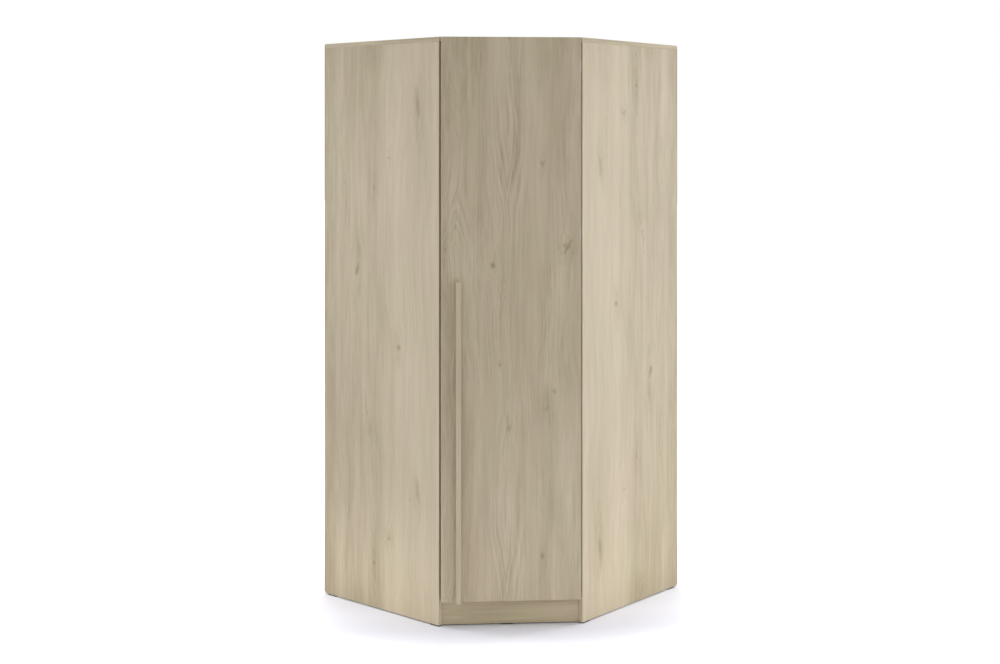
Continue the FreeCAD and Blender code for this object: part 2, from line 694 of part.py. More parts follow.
node("glide_post", box("glide_post", "glide_length", "glide_width", "glide_height",
                       at("back_thick + (post_side + glide_width) / 2",
                          "back_thick + (post_side - glide_length) / 2", "0")))

# Drilled boards and the fasteners inside them
boards = {
    "left_side_panel": left_side, "right_side_panel": right_side, "top_panel": top_board,
    "bottom_panel": floor_board, "top_shelf": shelf_board, "plinth_board": plinth,
    "rear_rail_left": rail_left_board, "rear_rail_right": rail_right_board, "corner_post": post,
    "back_panel_left": back_left, "back_panel_right": back_right,
    "door_panel": door_body, "handle_bar": bar_body}
for name, board in boards.items():
    node(name, cut(f"{name}_drilled", board, drills[name]))
node("cam_locks", group("cam_set", cams))
node("cam_bolts", group("bolt_set", bolts))
node("wooden_dowels", group("dowel_set", dowels))
node("back_nails", group("nail_set", nails))

# Every object and every shape is sound before a file is written
doc.recompute()
for item in doc.Objects:
    if "Invalid" in item.State or "Error" in item.State:
        raise RuntimeError(f"{item.Name} failed")
for item in NODES:
    if item.Shape.isNull() or not item.Shape.isValid():
        raise RuntimeError(f"{item.Label} has no sound shape")
    if not item.Shape.Solids:
        raise RuntimeError(f"{item.Label} has no solid")
os.makedirs("parts", exist_ok=True)
for item in NODES:
    item.Shape.exportStep(f"parts/{item.Label}.step")
print(len(NODES), "pieces written")
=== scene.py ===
import math
from collections import namedtuple

import bpy
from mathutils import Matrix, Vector


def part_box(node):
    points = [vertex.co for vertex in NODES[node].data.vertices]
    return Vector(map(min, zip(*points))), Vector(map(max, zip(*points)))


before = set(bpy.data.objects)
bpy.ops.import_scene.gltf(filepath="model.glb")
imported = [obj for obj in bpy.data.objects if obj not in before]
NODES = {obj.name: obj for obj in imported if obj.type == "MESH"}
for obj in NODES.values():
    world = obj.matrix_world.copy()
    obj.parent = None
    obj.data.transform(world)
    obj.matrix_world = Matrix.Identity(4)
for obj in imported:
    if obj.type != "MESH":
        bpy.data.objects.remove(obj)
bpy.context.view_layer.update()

MM = 0.001

# The diagonal front runs from the front edge of the left side panel to that of the right one
X_AXIS = Vector((1, 0, 0))
Y_AXIS = Vector((0, 1, 0))
UP = Vector((0, 0, 1))
LEFT_LOW, LEFT_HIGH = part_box("left_side_panel")
RIGHT_LOW, RIGHT_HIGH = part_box("right_side_panel")
FRONT_LEFT = Vector((LEFT_HIGH.x, LEFT_LOW.y, 0))
FRONT_RIGHT = Vector((RIGHT_HIGH.x, RIGHT_LOW.y, 0))
ALONG_FRONT = (FRONT_RIGHT - FRONT_LEFT).normalized()
OUT_OF_FRONT = ALONG_FRONT.cross(UP)


# A node tree written as plain calls; a value is either a socket or a constant
class Graph:
    def __init__(self, tree):
        self.tree = tree

    def add(self, kind, **settings):
        item = self.tree.nodes.new(kind)
        for key, value in settings.items():
            setattr(item, key, value)
        return item

    def feed(self, socket, value):
        if isinstance(value, bpy.types.NodeSocket):
            self.tree.links.new(value, socket)
        else:
            socket.default_value = value

    def math(self, operation, *values):
        item = self.add("ShaderNodeMath", operation=operation)
        for socket, value in zip(item.inputs, values):
            self.feed(socket, value)
        return item.outputs[0]

    def vector(self, operation, *values):
        item = self.add("ShaderNodeVectorMath", operation=operation)
        scalar = operation in ("DOT_PRODUCT", "LENGTH")
        for socket, value in zip(item.inputs, values):
            self.feed(socket, value)
        return item.outputs["Value" if scalar else "Vector"]

    def scaled(self, value, factor):
        item = self.add("ShaderNodeVectorMath", operation="SCALE")
        self.feed(item.inputs[0], value)
        self.feed(item.inputs["Scale"], factor)
        return item.outputs["Vector"]

    def join(self, x, y, z):
        item = self.add("ShaderNodeCombineXYZ")
        for socket, value in zip(item.inputs, (x, y, z)):
            self.feed(socket, value)
        return item.outputs[0]

    def split(self, value):
        item = self.add("ShaderNodeSeparateXYZ")
        self.feed(item.inputs[0], value)
        return item.outputs

    def noise(self, place, detail, roughness, scale=1.0):
        item = self.add("ShaderNodeTexNoise")
        self.feed(item.inputs["Vector"], place)
        item.inputs["Scale"].default_value = scale
        item.inputs["Detail"].default_value = detail
        item.inputs["Roughness"].default_value = roughness
        return item.outputs["Fac"]

    def cells(self, place, scale):
        item = self.add("ShaderNodeTexVoronoi")
        self.feed(item.inputs["Vector"], place)
        item.inputs["Scale"].default_value = scale
        return item.outputs

    # A smooth step of value between low and high, from start to end
    def ease(self, value, low, high, start, end):
        item = self.add("ShaderNodeMapRange", interpolation_type="SMOOTHSTEP")
        for socket, part in zip(item.inputs, (value, low, high, start, end)):
            self.feed(socket, part)
        return item.outputs[0]

    # The sum of two values, each times its share
    def blend(self, *pairs):
        first, second = (self.math("MULTIPLY", value, share) for value, share in pairs)
        return self.math("ADD", first, second)

    def ramp(self, factor, stops):
        item = self.add("ShaderNodeValToRGB")
        item.color_ramp.interpolation = "LINEAR"
        while len(item.color_ramp.elements) < len(stops):
            item.color_ramp.elements.new(0.5)
        for element, (place, colour) in zip(item.color_ramp.elements, stops):
            element.position = place
            element.color = (*colour, 1)
        self.feed(item.inputs[0], factor)
        return item.outputs[0]

    def mix(self, factor, first, second, mode="MIX"):
        item = self.add("ShaderNodeMix", data_type="RGBA", blend_type=mode)
        self.feed(item.inputs[0], factor)
        self.feed(item.inputs[6], first)
        self.feed(item.inputs[7], second)
        return item.outputs[2]

    def mix_vector(self, factor, first, second):
        item = self.add("ShaderNodeMix", data_type="VECTOR")
        self.feed(item.inputs[0], factor)
        self.feed(item.inputs[4], first)
        self.feed(item.inputs[5], second)
        return item.outputs[1]

    def place(self):
        return self.add("ShaderNodeTexCoord").outputs["Object"]

    def normal(self):
        return self.add("ShaderNodeTexCoord").outputs["Normal"]

    # 1 on rays that show a surface as itself, 0 on rays that light others
    def seen_ray(self):
        path = self.add("ShaderNodeLightPath").outputs
        seen = self.math("MAXIMUM", path["Is Camera Ray"], path["Is Glossy Ray"])
        return self.math("MAXIMUM", seen, path["Is Transmission Ray"])

    def show(self, shader):
        self.feed(self.add("ShaderNodeOutputMaterial").inputs["Surface"], shader.outputs[0])


def empty_material(name):
    material = bpy.data.materials.new(name)
    material.use_nodes = True
    material.node_tree.nodes.clear()
    return material


# A material with one principled shader
class Surface(Graph):
    def __init__(self, name):
        self.material = empty_material(name)
        super().__init__(self.material.node_tree)
        self.shader = self.add("ShaderNodeBsdfPrincipled")
        self.show(self.shader)

    def set(self, **values):
        for key, value in values.items():
            self.feed(self.shader.inputs[key.replace("_", " ")], value)

    def bump(self, height, strength, distance):
        item = self.add("ShaderNodeBump")
        item.inputs["Strength"].default_value = strength
        item.inputs["Distance"].default_value = distance
        self.feed(item.inputs["Height"], height)
        self.feed(self.shader.inputs["Normal"], item.outputs[0])


# Pale greyed oak: tones from a knot's core to the lightest early wood, as linear colour
OAK_TONES = (
    (0.0, (0.172, 0.129, 0.077)),
    (0.32, (0.376, 0.309, 0.204)),
    (0.5, (0.497, 0.424, 0.293)),
    (0.68, (0.593, 0.517, 0.374)),
    (1.0, (0.676, 0.602, 0.451)))
OLIVE = (0.990, 1.000, 0.968)
ROSE = (1.012, 0.991, 0.997)
HUE_RANGE = (0.33, 0.61)
DARK_TO_OLIVE = -2.0
OAK_MIDDLE = 0.5
OAK_ROUGHNESS = (0.62, 0.5)
OAK_ROUGHNESS_RANGE = (0.2, 0.8)
OAK_SPECULAR = 0.35
OAK_BUMP = 0.25
OAK_RELIEF = 0.3 * MM
FINE_RELIEF = 0.6
PORE_RELIEF = 0.5

# All lengths of the print are in millimetres. It starts again after a repeat, lies shifted on the inner side
# of a board and is taken from another place for each seed
PRINT_REPEAT = 1350.0
HALF_REPEAT = PRINT_REPEAT / 2
INNER_SHIFT = (170.0, 655.0, 0.0)
SEED_STEPS = (713.0, 1571.0, 337.0)
FAR_ACROSS = 9999
FAR_THROUGH = 99

# Layers of the print: width and length of its marks, detail and roughness of its noise
Layer = namedtuple("Layer", "wide tall detail roughness")
BANDS = Layer(62, 900, 3.0, 0.55)
HUES = Layer(120, 420, 2.0, 0.5)
BROAD = Layer(15, 260, 3.0, 0.6)
LINES = Layer(6.5, 170, 2.0, 0.6)
FINE = Layer(3, 70, 3.0, 0.62)
PORES = Layer(0.75, 20, 2.0, 0.6)
CLARITY = Layer(48, 300, 2.0, 0.5)
SWAY = Layer(100, 450, 2.0, 0.5)
WANDER = Layer(30, 260, 2.0, 0.5)
TWIST = Layer(26, 24, 1.0, 0.5)
RAGGED_ACROSS = Layer(11, 26, 3.0, 0.5)
RAGGED_ALONG = Layer(15, 38, 3.0, 0.5)

# How far a layer moves the tone, or the grain in millimetres
BAND_DEPTH = 0.42
BROAD_DEPTH = 0.21
LINE_DEPTH = 0.12
FINE_DEPTH = 0.15
PORE_DEPTH = 0.035
PORE_RANGE = (0.56, 0.74)
CLARITY_RANGE = (0.36, 0.64)
CLARITY_GAIN = (0.4, 1.6)
SWAY_REACH = 46.0
WANDER_REACH = 14.0
RAGGED_ACROSS_REACH = 20.0
RAGGED_ALONG_REACH = 44.0

# The two planks of a side's print meet at a place across it, in a soft step of tone
PLANK_JOINT = 270.0
PLANK_BLEND = 22.0
PLANK_DEPTH = 0.055

# Knots of a print: place, half sizes, slant and depth of tone of the core, then half sizes and depth of tone
# of the soft halo. Core and halo fade over ranges that are shares of their half sizes, and the grain is
# pushed aside by a knot in step with its depth
Knot = namedtuple("Knot", "across along wide tall slant depth halo_wide halo_tall halo_depth")
SIDE_KNOTS = (
    Knot(102, 1800, 10, 48, -0.15, 0.12, 34, 130, 0.05),
    Knot(244, 1614, 12, 6, 0.0, 0.12, 26, 60, 0.03),
    Knot(319, 1510, 5, 12, 0.0, 0.14, 14, 190, 0.045),
    Knot(406, 1210, 7, 26, 0.35, 0.25, 50, 130, 0.06),
    Knot(406, 1320, 10, 60, -0.2, 0.02, 48, 110, 0.045),
    Knot(196, 945, 10, 14, 0.0, 0.26, 38, 90, 0.055),
    Knot(361, 740, 4, 44, 0.0, 0.08, 16, 70, 0.02),
    Knot(356, 700, 6, 9, 0.0, 0.15, 30, 90, 0.03),
    Knot(342, 640, 30, 30, 0.0, 0.015, 60, 90, 0.05),
    Knot(466, 1470, 3, 110, 0.0, 0.05, 9, 130, 0.03),
    Knot(430, 560, 50, 90, 0.0, 0.0, 190, 300, 0.055),
    Knot(141, 1772, 4, 4, 0.0, 0.11, 9, 12, 0.02),
    Knot(139, 1633, 4, 5, 0.0, 0.09, 9, 12, 0.02),
    # The last row is no knot: it darkens a broad band along the rear edge of each side, over the whole
    # height
    Knot(600, 0, 50, 50, 0.0, 0.0, 120, 9000, 0.07))
DOOR_KNOTS = (
    Knot(184, 1241, 7, 9, 0.0, 0.22, 26, 46, 0.04),
    Knot(444, 1307, 7, 24, -0.55, 0.20, 36, 70, 0.045),
    Knot(432, 1318, 5, 9, 0.3, 0.12, 20, 60, 0.02),
    Knot(23, 1299, 4, 8, 0.0, 0.15, 14, 40, 0.03),
    Knot(359, 1592, 8, 7, 0.0, 0.12, 20, 110, 0.045),
    Knot(397, 807, 4, 10, 0.0, 0.17, 18, 70, 0.035),
    Knot(371, 752, 12, 9, 0.0, 0.07, 56, 90, 0.055),
    Knot(240, 686, 13, 14, -0.4, 0.12, 28, 80, 0.03),
    Knot(210, 907, 5, 7, 0.0, 0.10, 10, 24, 0.02),
    Knot(353, 245, 5, 8, 0.0, 0.10, 14, 60, 0.03),
    Knot(246, 1890, 10, 4, 0.0, 0.06, 14, 20, 0.02),
    Knot(440, 860, 50, 50, 0.0, 0.0, 80, 300, 0.065),
    Knot(85, 800, 50, 50, 0.0, 0.0, 80, 560, 0.045))
CORE_RANGE = (0.2, 1.4)
HALO_RANGE = (0.0, 1.3)
KNOT_PUSH = 2.0
MOST_PUSH = 0.5

# Flames of the door's print: middle across, height of the foot, rise, ring count at the foot and at the
# head, roundness of the tips, reach to the side and depth of tone
Flame = namedtuple("Flame", "middle foot rise low high blunt reach depth")
DOOR_FLAMES = (
    Flame(233, 1400, 330, 6.0, 0.0, 3.0, 60, 0.17),
    Flame(62, 1290, 240, 0.0, 9.0, 11.0, 55, 0.13))
RINGS_PER_MM = 0.17
RING_LENGTH = 700
RING_DETAIL = 2.0
RING_ROUGHNESS = 0.6
RING_RANGE = (0.36, 0.58)
RING_TONE = (-0.5, 0.4)
FLAME_SIDES_APART = 0.3
FLAME_FADE_SHARES = (0.35, 1.3)
FLAME_END_FADE = 160.0
FLAME_END_SHARE = 0.3
FLAME_RETURN = 120.0

# Places where the door's grain curls: place, half sizes and reach of the shove to the side
Curl = namedtuple("Curl", "across along wide tall shove")
DOOR_CURLS = (Curl(222, 1190, 34, 110, 34.0), Curl(62, 1440, 40, 90, 16.0))
CURL_RANGE = (0.2, 1.0)

# A face looks a given way when its normal has at least this share of it
FACING = 0.5


# A print on a board, with across and along as its axes and origin as its start
class OakPrint(Surface):
    def __init__(self, name, across, along, origin, seed):
        super().__init__(name)
        place = self.vector("SUBTRACT", self.place(), tuple(origin))
        ways = (across, along, across.cross(along))
        self.point = self.join(*(self.millimetres(place, tuple(way)) for way in ways))
        self.shift = tuple(seed * step for step in SEED_STEPS)

    def millimetres(self, place, way):
        return self.math("MULTIPLY", self.vector("DOT_PRODUCT", place, way), 1 / MM)

    # Shows another stretch of the print on the side that looks away from outside
    def shift_inner_side(self, outside):
        inner = self.math("LESS_THAN", self.vector("DOT_PRODUCT", self.normal(), tuple(outside)), -FACING)
        self.point = self.vector("ADD", self.point, self.scaled(INNER_SHIFT, inner))

    # Runs the grain along the narrow edges of a flat board, as an edging tape does
    def run_along_edges(self):
        normal = self.normal()
        steep = self.math("LESS_THAN", self.math("ABSOLUTE", self.split(normal)[2]), FACING)
        run = self.millimetres(self.place(), self.vector("CROSS_PRODUCT", normal, tuple(UP)))
        rise = self.math("MULTIPLY", self.split(self.place())[2], 1 / MM)
        self.point = self.mix_vector(steep, self.point, self.join(rise, run, 0.0))

    # Sets the grain, which the marks below bend into its flow
    def start_grain(self):
        self.grain = self.vector("ADD", self.point, self.shift)
        self.flow = self.grain

    def layer(self, kind, source=None):
        scale = (1 / kind.wide, 1 / kind.tall, 1 / kind.wide)
        return self.noise(self.vector("MULTIPLY", source or self.grain, scale), kind.detail, kind.roughness)

    def centred(self, value, gain):
        return self.math("MULTIPLY", self.math("SUBTRACT", value, 0.5), gain)

    # The way from the nearest repeat of a spot
    def from_spot(self, source, across, along):
        off = self.vector("SUBTRACT", source, (across, along, 0))
        return self.vector("WRAP", off, (FAR_ACROSS, HALF_REPEAT, FAR_THROUGH),
                           (-FAR_ACROSS, -HALF_REPEAT, -FAR_THROUGH))

    def move_flow(self, across):
        self.flow = self.vector("ADD", self.flow, self.join(across, 0.0, 0.0))

    def curl(self, mark):
        off = self.vector("MULTIPLY", self.from_spot(self.point, mark.across, mark.along),
                          (1 / mark.wide, 1 / mark.tall, 0))
        inside = self.ease(self.vector("LENGTH", off), *CURL_RANGE, mark.shove, 0.0)
        self.move_flow(self.math("MULTIPLY", self.centred(self.layer(TWIST), 1.0), inside))

    # Bends the flow round the knots and returns their darkness
    def knots(self, marks):
        skew = self.join(self.centred(self.layer(RAGGED_ACROSS), RAGGED_ACROSS_REACH),
                         self.centred(self.layer(RAGGED_ALONG), RAGGED_ALONG_REACH), 0.0)
        ragged = self.vector("ADD", self.point, skew)
        dark = 0.0
        for mark in marks:
            off = self.from_spot(ragged, mark.across, mark.along)
            sheared = self.join(
                self.vector("DOT_PRODUCT", off, (1 / mark.wide, mark.slant / mark.wide, 0)),
                self.vector("DOT_PRODUCT", off, (0, 1 / mark.tall, 0)), 0.0)
            core = self.ease(self.vector("LENGTH", sheared), *CORE_RANGE, mark.depth, 0.0)
            spread = self.vector("MULTIPLY", off, (1 / mark.halo_wide, 1 / mark.halo_tall, 0))
            halo = self.ease(self.vector("LENGTH", spread), *HALO_RANGE, 1.0, 0.0)
            dark = self.math("ADD", self.math("MULTIPLY_ADD", halo, mark.halo_depth, core), dark)
            push = self.math("MULTIPLY", halo, min(MOST_PUSH, mark.depth * KNOT_PUSH))
            self.flow = self.vector("SUBTRACT", self.flow, self.scaled(off, push))
        return dark

    # Adds nested tips of growth rings to the tone
    def flame(self, mark, tone):
        unshifted = self.vector("SUBTRACT", self.flow, self.shift)
        aside, up, _ = self.split(self.from_spot(unshifted, mark.middle, mark.foot))
        aside = self.math("SUBTRACT", aside, self.centred(self.layer(WANDER), WANDER_REACH))
        near = self.math("SQRT", self.math("MULTIPLY_ADD", aside, aside, mark.blunt * mark.blunt))
        change = mark.high - mark.low
        climb = self.math("SUBTRACT", self.ease(up, 0.0, mark.rise, 0.0, change),
                          self.ease(up, mark.rise + FLAME_RETURN, HALF_REPEAT, 0.0, change))
        rings = self.math("ADD", self.math("MULTIPLY_ADD", near, RINGS_PER_MM, mark.low), climb)
        side = self.math("MULTIPLY", self.math("SIGN", aside), FLAME_SIDES_APART)
        spot = self.join(rings, side, self.math("MULTIPLY", up, 1 / RING_LENGTH))
        ring = self.ease(self.noise(spot, RING_DETAIL, RING_ROUGHNESS), *RING_RANGE, *RING_TONE)
        half = mark.rise / 2
        from_middle = self.math("ABSOLUTE", self.math("SUBTRACT", up, half))
        fade = (mark.reach * share for share in FLAME_FADE_SHARES)
        weight = self.math("MULTIPLY", self.ease(near, *fade, mark.depth, 0.0),
                           self.ease(from_middle, half, half + FLAME_END_FADE, 1.0, FLAME_END_SHARE))
        return self.math("MULTIPLY_ADD", ring, weight, tone)


def oak(name, across, along, origin, seed, knots=(), flames=(), curls=(), lift=0.0, plank=None,
        edging=False, streaks=1.0, outside=None, stain=(1.0, 1.0, 1.0)):
    g = OakPrint(name, across, along, origin, seed)
    if outside is not None:
        g.shift_inner_side(outside)
    if edging:
        g.run_along_edges()
    g.start_grain()
    for mark in curls:
        g.curl(mark)
    dark = g.knots(knots) if knots else None
    sway = g.centred(g.layer(SWAY), SWAY_REACH)
    g.move_flow(sway)

    fine = g.layer(FINE, g.flow)
    pores = g.ease(g.layer(PORES, g.flow), *PORE_RANGE, 0.0, 1.0)
    clear = g.ease(g.layer(CLARITY, g.flow), *CLARITY_RANGE, *CLARITY_GAIN)
    tone = g.math("ADD", OAK_MIDDLE + lift, g.centred(g.layer(BANDS, g.flow), BAND_DEPTH))
    tone = g.math("ADD", tone, g.centred(g.layer(BROAD, g.flow), BROAD_DEPTH))
    for value, depth in ((g.layer(LINES, g.flow), LINE_DEPTH), (fine, FINE_DEPTH)):
        tone = g.math("MULTIPLY_ADD", g.centred(value, depth * streaks), clear, tone)
    for mark in flames:
        tone = g.flame(mark, tone)
    if plank is not None:
        swayed = g.math("ADD", g.split(g.point)[0], sway)
        step = g.ease(swayed, plank - PLANK_BLEND, plank + PLANK_BLEND, PLANK_DEPTH, -PLANK_DEPTH)
        tone = g.math("ADD", tone, step)
    tone = g.math("SUBTRACT", tone, g.math("MULTIPLY", pores, PORE_DEPTH))
    hue = g.layer(HUES, g.flow)
    if dark is not None:
        tone = g.math("SUBTRACT", tone, dark)
        hue = g.math("MULTIPLY_ADD", dark, DARK_TO_OLIVE, hue)

    olive, rose = ((*(part * more for part, more in zip(tint, stain)), 1) for tint in (OLIVE, ROSE))
    tint = g.mix(g.ease(hue, *HUE_RANGE, 0.0, 1.0), olive, rose)
    g.set(Base_Color=g.mix(1.0, g.ramp(tone, OAK_TONES), tint, "MULTIPLY"),
          Roughness=g.ease(fine, *OAK_ROUGHNESS_RANGE, *OAK_ROUGHNESS), Specular_IOR_Level=OAK_SPECULAR)
    g.bump(g.blend((fine, FINE_RELIEF), (pores, -PORE_RELIEF)), OAK_BUMP, OAK_RELIEF)
    return g.material


# Flat-pressed chips of wood, for board that has no face on it
CHIP_TONES = ((0.1, (0.24, 0.16, 0.085)), (0.45, (0.42, 0.31, 0.19)), (0.9, (0.60, 0.48, 0.32)))
CHIP_FLATNESS = (1.0, 1.0, 2.2)
CHIP_SCALE = 260.0
CHIP_SHARE = 0.7


def chipboard(name):
    g = Surface(name)
    place = g.place()
    chips = g.cells(g.vector("MULTIPLY", place, CHIP_FLATNESS), CHIP_SCALE)
    grit = g.noise(place, detail=4.0, roughness=0.7, scale=900.0)
    tone = g.blend((g.split(chips["Color"])[0], CHIP_SHARE), (grit, 1 - CHIP_SHARE))
    g.set(Base_Color=g.ramp(tone, CHIP_TONES), Roughness=0.82)
    g.bump(g.math("ADD", chips["Distance"], grit), strength=0.35, distance=0.5 * MM)
    return g.material


# Thin hardboard: brown pressed fibre outside, a plain oak print inside
FIBRE_TONES = ((0.25, (0.17, 0.095, 0.045)), (0.5, (0.27, 0.165, 0.085)), (0.75, (0.36, 0.24, 0.135)))
FIBRE_SHARE = 0.6
FIBRE_ROUGHNESS = 0.78
PRINT_ROUGHNESS = 0.58
BACK_BANDS_PER_METRE = (14.0, 1.1, 1.0)
BACK_LINES_PER_METRE = (240.0, 8.0, 1.0)
BACK_BAND_DEPTH = 0.22
BACK_LINE_DEPTH = 0.24
BACK_DARKEST = 0.27


def hardboard(name, inside, across, seed):
    g = Surface(name)
    place = g.place()
    fibre = g.noise(place, detail=5.0, roughness=0.7, scale=420.0)
    cloud = g.noise(place, detail=3.0, roughness=0.5, scale=5.0)
    brown = g.ramp(g.blend((fibre, FIBRE_SHARE), (cloud, 1 - FIBRE_SHARE)), FIBRE_TONES)
    a = g.vector("DOT_PRODUCT", place, tuple(across))
    point = g.vector("ADD", g.join(a, g.split(place)[2], 0.0), (seed, seed * 2.0, 0.0))
    bands = g.noise(g.vector("MULTIPLY", point, BACK_BANDS_PER_METRE), detail=3.0, roughness=0.55)
    lines = g.noise(g.vector("MULTIPLY", point, BACK_LINES_PER_METRE), detail=3.0, roughness=0.6)
    tone = g.blend((bands, BACK_BAND_DEPTH), (lines, BACK_LINE_DEPTH))
    printed = g.ramp(g.math("ADD", tone, BACK_DARKEST), OAK_TONES)
    inner = g.math("GREATER_THAN", g.vector("DOT_PRODUCT", g.normal(), tuple(inside)), FACING)
    g.set(Base_Color=g.mix(inner, brown, printed),
          Roughness=g.ease(inner, 0.0, 1.0, FIBRE_ROUGHNESS, PRINT_ROUGHNESS))
    g.bump(fibre, strength=0.2, distance=0.3 * MM)
    return g.material


# Metal and plastic: cloudy in colour and grainy in roughness
GRAIN_RANGE = (0.3, 0.7)
METAL_SHADE = 0.9
METAL_ROUGHNESS_SHARES = (0.8, 1.25)
PLASTIC_ROUGHNESS_SHARES = (0.85, 1.15)


def metal(name, colour, rough, grain, stretch=(1.0, 1.0, 1.0)):
    g = Surface(name)
    brushed = g.noise(g.vector("MULTIPLY", g.place(), stretch), detail=3.0, roughness=0.6, scale=grain)
    cloud = g.noise(g.place(), detail=2.0, roughness=0.5, scale=45.0)
    low = tuple(part * METAL_SHADE for part in colour)
    roughness = (rough * share for share in METAL_ROUGHNESS_SHARES)
    g.set(Base_Color=g.mix(cloud, (*low, 1), (*colour, 1)), Metallic=1.0,
          Roughness=g.ease(brushed, *GRAIN_RANGE, *roughness))
    g.bump(brushed, strength=0.06, distance=0.1 * MM)
    return g.material


def plastic(name, low, high, rough, clear=0.0):
    g = Surface(name)
    texture = g.noise(g.place(), detail=4.0, roughness=0.6, scale=1400.0)
    cloud = g.noise(g.place(), detail=2.0, roughness=0.5, scale=60.0)
    roughness = (rough * share for share in PLASTIC_ROUGHNESS_SHARES)
    g.set(Base_Color=g.mix(cloud, (*low, 1), (*high, 1)),
          Roughness=g.ease(texture, *GRAIN_RANGE, *roughness), Transmission_Weight=clear)
    g.bump(texture, strength=0.15, distance=0.15 * MM)
    return g.material


DOWEL_TONES = ((0.3, (0.52, 0.38, 0.22)), (0.7, (0.68, 0.54, 0.36)))
DOWEL_GRAIN_PER_METRE = (600.0, 600.0, 40.0)


def turned_wood(name):
    g = Surface(name)
    rings = g.noise(g.vector("MULTIPLY", g.place(), DOWEL_GRAIN_PER_METRE), detail=3.0, roughness=0.6)
    g.set(Base_Color=g.ramp(rings, DOWEL_TONES), Roughness=0.65)
    g.bump(rings, strength=0.2, distance=0.2 * MM)
    return g.material


def dress(material, *names):
    for name in names:
        slots = NODES[name].data.materials
        slots.clear()
        slots.append(material)


# Boards. The right side carries the left side's print turned over, from PRINT_TOP down
PRINT_TOP = 2040 * MM
left_corner = Vector((LEFT_HIGH.x, 0, 0))
turned_over = Vector((0, RIGHT_LOW.y, PRINT_TOP))
dress(oak("oak_left_side", -X_AXIS, UP, left_corner, seed=1.0, knots=SIDE_KNOTS, plank=PLANK_JOINT,
          outside=-Y_AXIS), "left_side_panel")
dress(oak("oak_right_side", Y_AXIS, -UP, turned_over, seed=1.0, knots=SIDE_KNOTS, plank=PLANK_JOINT,
          outside=X_AXIS), "right_side_panel")
dress(oak("oak_door", ALONG_FRONT, UP, FRONT_LEFT, seed=3.0, knots=DOOR_KNOTS, flames=DOOR_FLAMES,
          curls=DOOR_CURLS, lift=-0.008, streaks=1.5, outside=OUT_OF_FRONT), "door_panel")
dress(oak("oak_handle", ALONG_FRONT, UP, FRONT_LEFT, seed=5.0, lift=0.02), "handle_bar")
# The plinth's print is made darker than the other boards as painted shade, which offsets the light that the
# front floor card throws on it
dress(oak("oak_plinth_painted_shade", UP, ALONG_FRONT, FRONT_LEFT, seed=6.0, lift=-0.065, stain=(1.0, 1.0, 0.965)),
      "plinth_board")
dress(oak("oak_top", Y_AXIS, X_AXIS, left_corner, seed=7.0, lift=-0.085, edging=True), "top_panel")
dress(oak("oak_shelf", Y_AXIS, X_AXIS, left_corner, seed=8.0, edging=True), "top_shelf")
dress(oak("oak_floor", Y_AXIS, X_AXIS, left_corner, seed=9.0, edging=True), "bottom_panel")
dress(chipboard("raw_board"), "rear_rail_left", "rear_rail_right")
dress(oak("oak_post", X_AXIS, UP, left_corner, seed=10.0), "corner_post")
dress(hardboard("hardboard_right", -Y_AXIS, X_AXIS, seed=3.0), "back_panel_right")
dress(hardboard("hardboard_left", X_AXIS, Y_AXIS, seed=5.0), "back_panel_left")
dress(turned_wood("dowel_wood"), "wooden_dowels")

# Fittings
CHROME = (0.86, 0.87, 0.88)
# The hinges' metal is a dark nickel, kept close to the tone of the shaded door gap where the hinges show: in
# part this colour is painted shade
DARK_NICKEL_GAP_SHADE = (0.20, 0.195, 0.185)
dress(plastic("glide_plastic", low=(0.012, 0.012, 0.012), high=(0.03, 0.03, 0.03), rough=0.5),
      *[name for name in NODES if name.startswith("glide_")], "rail_caps")
dress(plastic("bumper_rubber", low=(0.72, 0.72, 0.69), high=(0.8, 0.8, 0.78), rough=0.35, clear=0.4),
      "door_bumpers")
dress(metal("rail_chrome_left", CHROME, rough=0.10, grain=60.0, stretch=(4.0, 0.2, 4.0)),
      "hanging_rail_left")
dress(metal("rail_chrome_right", CHROME, rough=0.10, grain=60.0, stretch=(0.2, 4.0, 4.0)),
      "hanging_rail_right")
dress(metal("rail_fitting", (0.74, 0.75, 0.76), rough=0.26, grain=500.0),
      "rail_socket_left", "rail_socket_right", "rail_bracket_left", "rail_bracket_right")
dress(metal("zinc_steel", (0.66, 0.67, 0.66), rough=0.38, grain=350.0),
      "wall_bracket_left", "wall_bracket_right")
dress(metal("hinge_steel", DARK_NICKEL_GAP_SHADE, rough=0.34, grain=450.0),
      *[name for name in NODES if name.startswith(("hinge_arm", "hinge_plate_", "hinge_cup_"))
        and not name.endswith("screws")])
dress(metal("hinge_pin_steel", DARK_NICKEL_GAP_SHADE, rough=0.34, grain=450.0), "hinge_pins")
dress(metal("screw_steel", (0.70, 0.70, 0.66), rough=0.33, grain=600.0), "hinge_plate_screws",
      "hinge_cup_screws", "handle_screws", "rail_screws", "wall_bracket_screws", "cam_locks",
      "cam_bolts", "back_nails")

